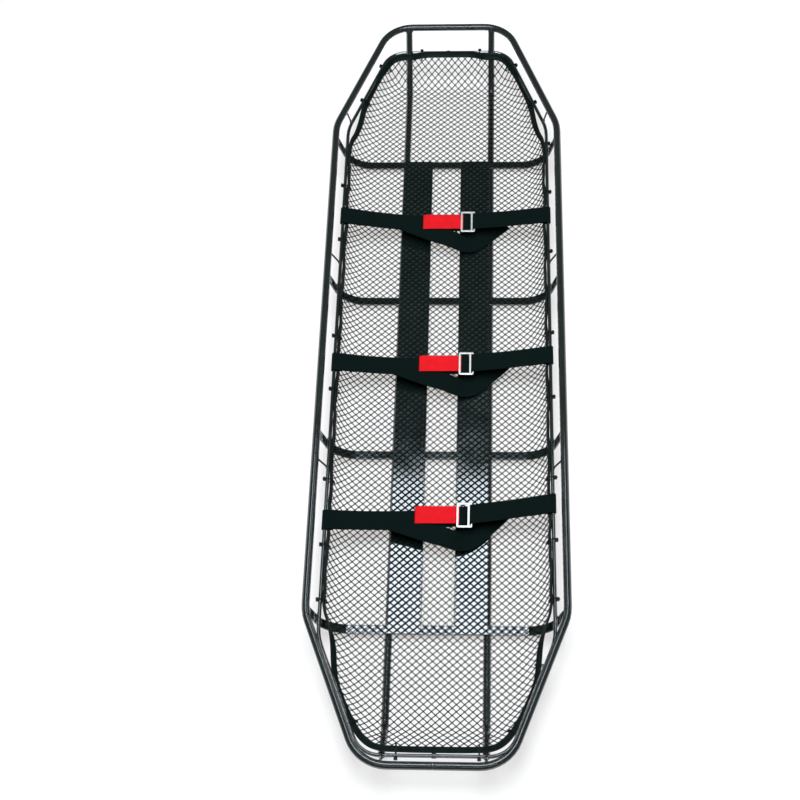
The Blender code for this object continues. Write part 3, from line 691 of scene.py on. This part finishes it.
def tie(bm, place, along, outward, rng):
    """A cable tie: a flat loop round rod and band, its head outside and a short cut tail."""
    nearest = min(range(len(BAND)), key=lambda index: (BAND[index] - place).length)
    to_band = BAND[nearest] - band_frame(nearest)[0] * (BAND_HALF + 0.001) - place
    to_band -= along * to_band.dot(along)
    centre = place + to_band * 0.5
    major = to_band.length / 2 + ROD_RADIUS + 0.0008
    long_axis = to_band.normalized()
    long_axis = (long_axis - along * long_axis.dot(along)).normalized()
    short_axis = along.cross(long_axis)
    minor = ROD_RADIUS + 0.0010
    rings = []
    for index in range(TIE_STEPS):
        angle = 2 * math.pi * index / TIE_STEPS
        ring = []
        for grow, shift in ((-1, -1), (1, -1), (1, 1), (-1, 1)):
            offset = long_axis * math.cos(angle) * (major + grow * TIE_HALF_THICKNESS)
            offset += short_axis * math.sin(angle) * (minor + grow * TIE_HALF_THICKNESS)
            ring.append(bm.verts.new(centre + offset + along * shift * TIE_HALF_WIDTH))
        rings.append(ring)
    for index in range(TIE_STEPS):
        first, second = rings[index], rings[(index + 1) % TIE_STEPS]
        for corner in range(4):
            after = (corner + 1) % 4
            bm.faces.new((first[corner], first[after], second[after], second[corner]))
    up = Vector((0, 0, 1))
    head_at = place + outward * (ROD_RADIUS + 0.0026) + up * rng.uniform(-0.001, 0.002)
    frame_matrix = Matrix((along, outward, up)).transposed()
    size = Vector(TIE_HEAD_SIZE)
    head = bmesh.ops.create_cube(bm, size=1.0)
    for vert in head["verts"]:
        vert.co = head_at + frame_matrix @ Vector(c * w for c, w in zip(vert.co, size))
    stub = bmesh.ops.create_cube(bm, size=1.0)
    reach = rng.uniform(0.0010, 0.0026)
    tail_dir = (outward + up * rng.uniform(-0.3, 0.4)).normalized()
    tail_matrix = Matrix((along, tail_dir, along.cross(tail_dir))).transposed()
    for vert in stub["verts"]:
        local = Vector((vert.co.x * TIE_STUB_WIDTH, (vert.co.y + 0.5) * reach,
                        vert.co.z * TIE_STUB_THICKNESS))
        vert.co = head_at + outward * 0.0019 + tail_matrix @ local


def build_ties():
    """All the cable ties round the side rod."""
    rng = random.Random(21)
    bm = bmesh.new()
    for x, y in TIES_LEFT + TIES_RIGHT:
        side = 1 if x > 0 else -1
        place = mirrored(crossing(ROD_PATH, 1, y), side)
        ahead = mirrored(crossing(ROD_PATH, 1, y - 0.004), side)
        along = (ahead - place).normalized()
        outward = Vector((-along.y, along.x, 0)) * side
        if outward.x * side < 0:
            outward = -outward
        tie(bm, place, along, outward, rng)
    for x, end in TIES_ENDS:
        place = Vector((x, end * ROD_END_Y, ROD_Z))
        tie(bm, place, Vector((1, 0, 0)), Vector((0, end, 0)), rng)
    link("cable_ties", bm, NET, "basket", smooth=False)


build_ties()


# ---------------------------------------------------------------- straps

WEB_THICKNESS = 0.0015
WEB_LAYER = 0.0024
WEB_OVERLAP = 0.056
RIGHT_SAG_Z = 0.0575
LEFT_SAG_Z = 0.0469
LEFT_END_X = 0.068
THIRD_X = 0.077
LEFT_BAR_X = 0.0435
LOOP = ROD_RADIUS + 0.0003 + WEB_THICKNESS
# Columns across a web: place as a share of the width, thickness as a share of the full.
EDGE_COLUMNS = (
    (-0.5, 0.40), (-0.485, 0.85), (-0.455, 1.08), (-0.42, 1.0), (-0.28, 1.0), (-0.14, 1.0), (0, 1.0),
    (0.14, 1.0), (0.28, 1.0), (0.42, 1.0), (0.455, 1.08), (0.485, 0.85), (0.5, 0.40),
)


def ribbon(name, stations, width, thickness, material, body):
    """A woven strip through stations of (centre, across); its UV map is in metres."""
    bm = bmesh.new()
    layer = bm.loops.layers.uv.new("weave")
    final = len(stations) - 1
    uvs = {}
    tops, bottoms = [], []
    run = 0.0
    for index, (centre, across) in enumerate(stations):
        ahead, behind = stations[min(index + 1, final)][0], stations[max(index - 1, 0)][0]
        tangent = (ahead - behind).normalized()
        if index:
            run += (centre - stations[index - 1][0]).length
        normal = tangent.cross(across).normalized()
        top, bottom = [], []
        for place, scale in EDGE_COLUMNS:
            middle = centre + across * place * width
            for row, sign in ((top, 1), (bottom, -1)):
                vert = bm.verts.new(middle + normal * sign * thickness / 2 * scale)
                uvs[vert] = (run, place * width)
                row.append(vert)
        tops.append(top)
        bottoms.append(bottom)
    last = len(EDGE_COLUMNS) - 1
    for index in range(final):
        for column in range(last):
            a, b = tops[index], tops[index + 1]
            bm.faces.new((a[column], a[column + 1], b[column + 1], b[column]))
            a, b = bottoms[index], bottoms[index + 1]
            bm.faces.new((a[column], b[column], b[column + 1], a[column + 1]))
        for column, flip in ((0, False), (last, True)):
            quad = [tops[index][column], tops[index + 1][column],
                    bottoms[index + 1][column], bottoms[index][column]]
            bm.faces.new(quad if flip else list(reversed(quad)))
    for index, flip in ((0, False), (final, True)):
        for column in range(last):
            quad = [tops[index][column], bottoms[index][column],
                    bottoms[index][column + 1], tops[index][column + 1]]
            bm.faces.new(quad if flip else list(reversed(quad)))
    for face in bm.faces:
        for loop in face.loops:
            loop[layer].uv = uvs[loop.vert]
    return link(name, bm, material, body)


def web_height(x, sag_z):
    """The height of a sagging web's upper layer at x."""
    share = min(1, abs(x) / ROD_X)
    return sag_z + (ROD_Z + LOOP - sag_z) * share ** 2


def arc_points(centre, radius, start, end, steps):
    """Points on an XZ arc."""
    angles = [start + (end - start) * step / steps for step in range(steps + 1)]
    return [(centre[0] + radius * math.cos(angle), centre[1] + radius * math.sin(angle))
            for angle in angles]


def rod_end(sag_z):
    """The web's turn round the rod and its lower layer, for the right side."""
    turn = arc_points((ROD_X, ROD_Z), LOOP, math.pi / 2, -math.pi / 2, 14)
    steps = 9
    for step in range(1, steps + 1):
        share = step / steps
        x = ROD_X - WEB_OVERLAP * share
        bottom = ROD_Z - LOOP
        z = web_height(x, sag_z) - WEB_LAYER + 0.0006
        ease = smoothstep(0.0, 0.42, share)
        turn.append((x, bottom + (z - bottom) * ease))
    return turn


def middle_of(strap):
    """The strap's middle line in plan."""
    return lambda x: strap["left"] + (strap["right"] - strap["left"]) * (x + ROD_X) / (2 * ROD_X)


def stations_from(profile, middle):
    """Ribbon stations from an XZ profile."""
    return [(Vector((x, middle(x), z)), Vector((0, 1, 0))) for x, z in profile]


def right_profile():
    """Right web: lower layer, loop on the buckle's third bar, upper layer, loop on the rod."""
    loop = 0.00315
    profile = []
    steps = 8
    for step in range(steps):
        share = step / steps
        x = THIRD_X + 0.040 * (1 - share)
        bottom = BUCKLE_Z - loop
        z = web_height(x, RIGHT_SAG_Z) - WEB_LAYER + 0.0006
        profile.append((x, bottom + (z - bottom) * smoothstep(0.0, 0.45, 1 - share)))
    profile += arc_points((THIRD_X, BUCKLE_Z), loop, -math.pi / 2, -3 * math.pi / 2, 12)
    count = 26
    for step in range(1, count):
        x = THIRD_X + (ROD_X - THIRD_X) * step / count
        ease = smoothstep(0, 0.12, step / count)
        z = BUCKLE_Z + loop + (web_height(x, RIGHT_SAG_Z) - BUCKLE_Z - loop) * ease
        profile.append((x, z))
    return profile + rod_end(RIGHT_SAG_Z)


def left_profile():
    """Left web, from under the buckle to the left rod."""
    count = 44
    profile = []
    for step in range(count):
        x = LEFT_END_X - (LEFT_END_X + ROD_X) * step / count
        profile.append((x, web_height(x, LEFT_SAG_Z)))
    return profile + [(-x, z) for x, z in rod_end(LEFT_SAG_Z)]


TAIL_START_X = 0.066
TAIL_FOLD = Vector((-0.114, -0.004))
TAIL_FOLD_RADIUS = 0.0022
TAIL_FOLD_SIDE = Vector((-0.19, -0.982))
TAIL_DROP = (0.006, 0.080)
TAIL_LOW_Z = 0.0297
TAIL_ROUTE = (
    (-0.085, -0.015), (-0.050, -0.029), (-0.018, -0.0415), (0.008, -0.0505), (0.028, -0.0575),
    (0.047, -0.0615), (0.067, -0.058), (0.088, -0.044), (0.110, -0.024), (0.132, -0.004),
    (0.152, 0.016),
)
TAB_END_X = -0.0585
TAB_WIDTH = 0.046
TAB_THICKNESS = 0.0015
TAB_RISE = 0.00155
# The tab's end under the buckle's left bar: distance from the bar's place, and drop.
TAB_DIP = (
    (-0.0066, 0.0002), (-0.0052, 0.0009), (-0.0038, 0.0021), (-0.0022, 0.0031), (0.0, 0.0036),
    (0.0022, 0.0037), (0.0042, 0.0036),
)
# The buckle's outer edge and its two slots: left x, right x, half width, corner radius.
BUCKLE_OUTLINES = (
    (0.041, 0.0788, 0.033, 0.0030), (0.046, 0.0675, 0.0278, 0.0012), (0.0725, 0.0752, 0.0278, 0.0008),
)
BUCKLE_EDGE = 0.0009
STITCH_PITCH = 0.0034
STITCH_RADII = (0.00125, 0.00040, 0.00030)
STITCH_HALF = 0.020


def tail_height(x):
    """The height of the tail's folded-back layer: on the web, then down to the net."""
    over_z = web_height(x - WEB_WIDTH / 6, LEFT_SAG_Z) + 2 * WEB_LAYER
    return over_z + (TAIL_LOW_Z - over_z) * smoothstep(*TAIL_DROP, x)


def tail_stations(middle, wobble):
    """The tail: out along the web, over its fold, then down to the net and on to its free end."""
    plan = []
    fold_side = TAIL_FOLD_SIDE.normalized()
    for step in range(17):
        share = step / 16
        x = TAIL_START_X + (TAIL_FOLD.x - TAIL_START_X) * share
        side = Vector((0, -1)).lerp(fold_side, max(0, share * 4 - 3)).normalized()
        height = web_height(x, LEFT_SAG_Z) + WEB_LAYER - 0.0003
        plan.append((Vector((x, TAIL_FOLD.y * share)), side, height))
    fold_z = plan[-1][2]
    for step in range(1, 9):
        angle = math.pi * step / 8
        place = TAIL_FOLD - Vector((TAIL_FOLD_RADIUS * math.sin(angle), 0))
        plan.append((place, fold_side, fold_z + TAIL_FOLD_RADIUS * (1 - math.cos(angle))))
    curve = spline([Vector((x, y, 0)) for x, y in (TAIL_FOLD, *TAIL_ROUTE)], 4)
    for index in range(2, len(curve)):
        after = curve[min(index + 1, len(curve) - 1)]
        direction = Vector((after - curve[index - 1]).xy).normalized()
        share = index / (len(curve) - 1)
        lift = 0.0008 * math.sin(share * 9 + wobble) ** 2
        height = tail_height(curve[index].x) + lift
        plan.append((Vector(curve[index].xy), Vector((direction.y, -direction.x)), height))
    stations = []
    for place, side, height in plan:
        first = place + side * WEB_WIDTH / 2
        second = place - side * WEB_WIDTH / 2
        one = Vector((first.x, first.y + middle(first.x), height))
        two = Vector((second.x, second.y + middle(second.x), height))
        stations.append(((one + two) / 2, (one - two).normalized()))
    return stations


def tab_profile():
    """The pull tab: from its free end to just under the buckle's left bar."""
    upper_z = BUCKLE_Z + TAB_RISE
    profile = []
    steps = 18
    for step in range(steps):
        share = step / steps
        x = TAB_END_X + (LEFT_BAR_X - 0.0080 - TAB_END_X) * share
        droop = 0.0014 * (1 - share) ** 2
        profile.append((x, upper_z - droop + 0.0004 * math.sin(share * 7)))
    for reach, drop in TAB_DIP:
        profile.append((LEFT_BAR_X + reach, upper_z - drop))
    return profile


def stitches(bm, start, end, surface):
    """A row of raised stitches between two plan points on a surface."""
    start, end = Vector(start), Vector(end)
    length = (end - start).length
    count = max(1, round(length / STITCH_PITCH))
    along = (end - start).normalized()
    spin = Matrix.Rotation(math.atan2(along.y, along.x), 3, "Z")
    for index in range(count):
        place = start + along * (index + 0.5) * length / count
        blob(bm, surface(place), STITCH_RADII, 6, 4, spin)


def box_stitch(bm, low_x, high_x, middle, height):
    """A stitched box with its two diagonals."""
    def surface(place):
        return Vector((place.x, place.y + middle(place.x), height(place.x)))
    corners = ((low_x, -STITCH_HALF), (high_x, -STITCH_HALF), (high_x, STITCH_HALF), (low_x, STITCH_HALF))
    for index in range(4):
        stitches(bm, corners[index], corners[(index + 1) % 4], surface)
    stitches(bm, corners[0], corners[2], surface)
    stitches(bm, corners[1], corners[3], surface)


def build_buckle(number, strap):
    """The nickel three-bar buckle, its edges rounded."""
    curve = bpy.data.curves.new("buckle_outline", "CURVE")
    curve.dimensions = "2D"
    curve.fill_mode = "BOTH"
    curve.extrude = 0.0006
    curve.bevel_depth = BUCKLE_EDGE
    curve.bevel_resolution = 3
    for ring, (left, right, half, corner) in enumerate(BUCKLE_OUTLINES):
        grow = -BUCKLE_EDGE if ring == 0 else BUCKLE_EDGE
        left, right, half = left - grow, right + grow, half + grow
        places = []
        for x, y, quarter in ((right, half, 0), (left, half, 1), (left, -half, 2), (right, -half, 3)):
            cx = x - math.copysign(corner, x - (left + right) / 2)
            cy = y - math.copysign(corner, y)
            for step in range(6):
                angle = math.pi / 2 * (quarter + step / 5)
                places.append((cx + corner * math.cos(angle), cy + corner * math.sin(angle)))
        line = curve.splines.new("POLY")
        line.points.add(len(places) - 1)
        for point, place in zip(line.points, places):
            point.co = (*place, 0, 1)
        line.use_cyclic_u = True
    holder = bpy.data.objects.new("buckle_outline", curve)
    bpy.context.scene.collection.objects.link(holder)
    holder.location = (0, strap["buckle"], BUCKLE_Z)
    bpy.context.view_layer.update()
    graph = bpy.context.evaluated_depsgraph_get()
    mesh = bpy.data.meshes.new_from_object(holder.evaluated_get(graph))
    bm = bmesh.new()
    bm.from_mesh(mesh)
    bmesh.ops.transform(bm, matrix=holder.matrix_world.copy(), verts=bm.verts)
    bmesh.ops.remove_doubles(bm, verts=bm.verts, dist=0.00002)
    bpy.data.objects.remove(holder, do_unlink=True)
    bpy.data.meshes.remove(mesh)
    made = link(f"buckle_frame_{number}", bm, NICKEL, f"strap_{number}_buckle")
    made.data.set_sharp_from_angle(angle=math.radians(50))
    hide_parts(f"buckle_{number}")


def build_strap(number, strap):
    """One restraint strap: webs, tail, tab, buckle and stitching."""
    middle = middle_of(strap)
    right, left = f"strap_{number}_right", f"strap_{number}_left"
    made = ribbon(f"web_right_{number}", stations_from(right_profile(), middle),
                  WEB_WIDTH, WEB_THICKNESS, BLACK_WEB, right)
    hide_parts(f"strap_{number}_right_web")
    made = ribbon(f"web_left_{number}", stations_from(left_profile(), middle),
                  WEB_WIDTH, WEB_THICKNESS, BLACK_WEB, left)
    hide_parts(f"strap_{number}_left_web")
    made = ribbon(f"tail_{number}", tail_stations(middle, number),
                  WEB_WIDTH, WEB_THICKNESS, BLACK_WEB, left)
    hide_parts(f"strap_{number}_tail")
    centre = strap["buckle"]
    made = ribbon(f"red_tab_{number}", stations_from(tab_profile(), lambda x: centre),
                  TAB_WIDTH, TAB_THICKNESS, RED_WEB, f"strap_{number}_tab")
    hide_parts(f"pull_tab_{number}")
    build_buckle(number, strap)
    for side, word, body, sag in ((1, "right", right, RIGHT_SAG_Z), (-1, "left", left, LEFT_SAG_Z)):
        bm = bmesh.new()
        ends = sorted((side * (ROD_X - WEB_OVERLAP + 0.004), side * (ROD_X - 0.012)))
        box_stitch(bm, *ends, middle, lambda x, sag=sag: web_height(x, sag) + WEB_THICKNESS / 2)
        link(f"stitching_{word}_{number}", bm, THREAD, body)
    bm = bmesh.new()
    box_stitch(bm, THIRD_X + 0.008, THIRD_X + 0.036, middle,
               lambda x: web_height(x, RIGHT_SAG_Z) + WEB_THICKNESS / 2)
    link(f"stitching_buckle_{number}", bm, THREAD, right)


for number, strap in enumerate(STRAPS, start=1):
    build_strap(number, strap)


# ---------------------------------------------------------------- floor, light and camera

FLOOR_SIZE = 12
FLOOR_DROP = 0.0002
# The camera matched to the photograph: its turns are in degrees, its sizes in millimetres.
CAMERA_PLACE = (0.120, -2.129, 3.539)
CAMERA_TURNS = ((6.298, "Z"), (30.36, "X"), (-5.248, "Z"))
CAMERA_LENS = 72.9
CAMERA_SENSOR = 36


def build_stage():
    """The pale floor."""
    bm = bmesh.new()
    bmesh.ops.create_grid(bm, x_segments=1, y_segments=1, size=FLOOR_SIZE)
    mesh = bpy.data.meshes.new("floor")
    bm.to_mesh(mesh)
    bm.free()
    material, _, shader = base_material("floor", (0.46, 0.45, 0.44), 0.9)
    shader.inputs["Specular IOR Level"].default_value = 0.0
    shader.inputs["Emission Color"].default_value = (1.0, 0.975, 0.955, 1)
    shader.inputs["Emission Strength"].default_value = 0.55
    mesh.materials.append(material)
    floor = bpy.data.objects.new("floor", mesh)
    bpy.context.scene.collection.objects.link(floor)
    floor.location.z = -FLOOR_DROP


def area_light(name, place, target, size, power, colour):
    """A rectangular soft light."""
    light = bpy.data.lights.new(name, "AREA")
    light.shape = "RECTANGLE"
    light.size, light.size_y = size
    light.energy = power
    light.color = colour
    made = bpy.data.objects.new(name, light)
    bpy.context.scene.collection.objects.link(made)
    made.location = place
    made.rotation_euler = (Vector(target) - Vector(place)).to_track_quat("-Z", "Y").to_euler()
    return made


def build_light():
    """A panel overhead, a fill that stays out of reflections, and a dim even surround."""
    world = bpy.data.worlds.new("studio")
    world.use_nodes = True
    background = world.node_tree.nodes["Background"]
    background.inputs["Color"].default_value = (0.95, 0.98, 1.0, 1)
    background.inputs["Strength"].default_value = 0.14
    bpy.context.scene.world = world
    area_light("overhead", place=(0, -0.05, 3.0), target=(0, -0.05, 0), size=(1.3, 2.6),
               power=92, colour=(0.82, 0.91, 1.0))
    fill = area_light("fill", place=(0, 0, 3.05), target=(0, 0, 0), size=(2.8, 2.8),
                      power=84, colour=(0.90, 0.95, 1.0))
    fill.visible_glossy = False
    bpy.context.scene.view_settings.view_transform = "Standard"


def build_camera():
    """The camera at the photograph's angle."""
    data = bpy.data.cameras.new("camera")
    data.sensor_width = CAMERA_SENSOR
    data.lens = CAMERA_LENS
    data.clip_end = 50
    camera = bpy.data.objects.new("camera", data)
    bpy.context.scene.collection.objects.link(camera)
    turn = Matrix.Identity(4)
    for degrees, axis in CAMERA_TURNS:
        turn = turn @ Matrix.Rotation(math.radians(degrees), 4, axis)
    camera.matrix_world = Matrix.Translation(CAMERA_PLACE) @ turn
    bpy.context.scene.camera = camera


build_stage()
build_light()
build_camera()

bpy.context.view_layer.update()
